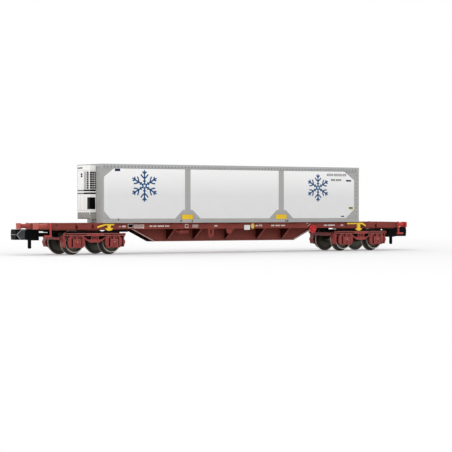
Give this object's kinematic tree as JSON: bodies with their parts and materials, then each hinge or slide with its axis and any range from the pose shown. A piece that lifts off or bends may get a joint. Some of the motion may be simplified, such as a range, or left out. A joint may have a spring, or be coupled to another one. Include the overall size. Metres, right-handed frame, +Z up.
{
  "type": "n scale model container flatcar with refrigerated container",
  "caption": "Model four-axle container flatcar in oxide red on two swivelling bogies, with swinging couplers and a lift-off grey and white refrigerated container.",
  "frame": {"origin": "under the middle of the wagon, at the level of the wheel flanges' lowest points", "axes": "+X along the wagon from the refrigeration unit's end to the door end, +Y across it, +Z up"},
  "size_m": [0.1308, 0.0156, 0.0248],
  "materials": {
    "oxide_red": "satin printed oxide red",
    "bogie_red": "satin oxide red",
    "buffer_red": "satin oxide red",
    "black_plastic": "black moulded plastic",
    "axle_steel": "turned steel",
    "wheel_metal": "blackened metal, bright tread",
    "lever_yellow": "yellow paint",
    "wheel_red": "bright red paint",
    "plate_white": "white label",
    "panel_white": "white paint",
    "unit_white": "white paint",
    "tank_grey": "grey paint",
    "rail_grey": "light grey paint",
    "container_grey": "grey paint"
  },
  "bodies": {
    "wagon": {"body_bolster_left": "oxide_red", "body_bolster_right": "oxide_red", "brake_cylinders": "oxide_red", "brake_hangers": "oxide_red", "buffer_left_far": "buffer_red", "buffer_left_near": "buffer_red", "buffer_right_far": "buffer_red", "buffer_right_near": "buffer_red", "centre_girder": "oxide_red", "changeover_levers_far": "lever_yellow", "changeover_levers_near": "lever_yellow", "corner_steps_left": "oxide_red", "corner_steps_right": "oxide_red", "coupler_box_left": "black_plastic", "coupler_box_right": "black_plastic", "cross_bars": "oxide_red", "cross_ribs": "oxide_red", "data_plates": "plate_white", "draft_sill_left": "oxide_red", "draft_sill_right": "oxide_red", "end_deck_left": "oxide_red", "end_deck_right": "oxide_red", "hand_wheel_far": "wheel_red", "hand_wheel_near": "wheel_red", "headstock_left": "oxide_red", "headstock_right": "oxide_red", "side_sill_far": "oxide_red", "side_sill_near": "oxide_red", "spigots": "oxide_red"},
    "bogie_left": {"bogie_left_bolster": "black_plastic", "bogie_left_frame_far": "bogie_red", "bogie_left_frame_near": "bogie_red"},
    "bogie_right": {"bogie_right_bolster": "black_plastic", "bogie_right_frame_far": "bogie_red", "bogie_right_frame_near": "bogie_red"},
    "coupler_left": {"coupler_left": "black_plastic"},
    "coupler_right": {"coupler_right": "black_plastic"},
    "container": {"container_bottom_rails": "container_grey", "container_floor": "container_grey", "container_front_wall": "container_grey", "container_panels_far": "panel_white", "container_panels_near": "panel_white", "container_roof": "container_grey", "container_side_far": "container_grey", "container_side_near": "container_grey", "container_top_rails": "rail_grey", "door_lock_rods": "rail_grey", "rear_door_far": "container_grey", "rear_door_near": "container_grey", "reefer_tank": "tank_grey", "reefer_unit": "unit_white"},
    "wheelset_1": {"axle_1": "axle_steel", "wheels_1": "wheel_metal"},
    "wheelset_2": {"axle_2": "axle_steel", "wheels_2": "wheel_metal"},
    "wheelset_3": {"axle_3": "axle_steel", "wheels_3": "wheel_metal"},
    "wheelset_4": {"axle_4": "axle_steel", "wheels_4": "wheel_metal"}
  },
  "joints": [
    {"name": "bogie_left_swivel", "type": "hinge", "parent": "wagon", "child": "bogie_left", "pos_m": [-0.04437, 0, 0.0062], "axis": [0, 0, 1], "range_deg": [-14, 14]},
    {"name": "bogie_right_swivel", "type": "hinge", "parent": "wagon", "child": "bogie_right", "pos_m": [0.04437, 0, 0.0062], "axis": [0, 0, 1], "range_deg": [-14, 14]},
    {"name": "coupler_left_swing", "type": "hinge", "parent": "wagon", "child": "coupler_left", "pos_m": [-0.0535, 0, 0.0055], "axis": [0, 0, 1], "range_deg": [-12, 12]},
    {"name": "coupler_right_swing", "type": "hinge", "parent": "wagon", "child": "coupler_right", "pos_m": [0.0535, 0, 0.0055], "axis": [0, 0, 1], "range_deg": [-12, 12]},
    {"name": "container_lift", "type": "slide", "parent": "wagon", "child": "container", "axis": [0, 0, 1], "range_m": [0, 0.012]},
    {"name": "wheelset_1_spin", "type": "hinge", "parent": "bogie_left", "child": "wheelset_1", "pos_m": [-0.05, 0, 0.00338], "axis": [0, 1, 0], "continuous": true},
    {"name": "wheelset_2_spin", "type": "hinge", "parent": "bogie_left", "child": "wheelset_2", "pos_m": [-0.03875, 0, 0.00338], "axis": [0, 1, 0], "continuous": true},
    {"name": "wheelset_3_spin", "type": "hinge", "parent": "bogie_right", "child": "wheelset_3", "pos_m": [0.03875, 0, 0.00338], "axis": [0, 1, 0], "continuous": true},
    {"name": "wheelset_4_spin", "type": "hinge", "parent": "bogie_right", "child": "wheelset_4", "pos_m": [0.05, 0, 0.00338], "axis": [0, 1, 0], "continuous": true}
  ]
}
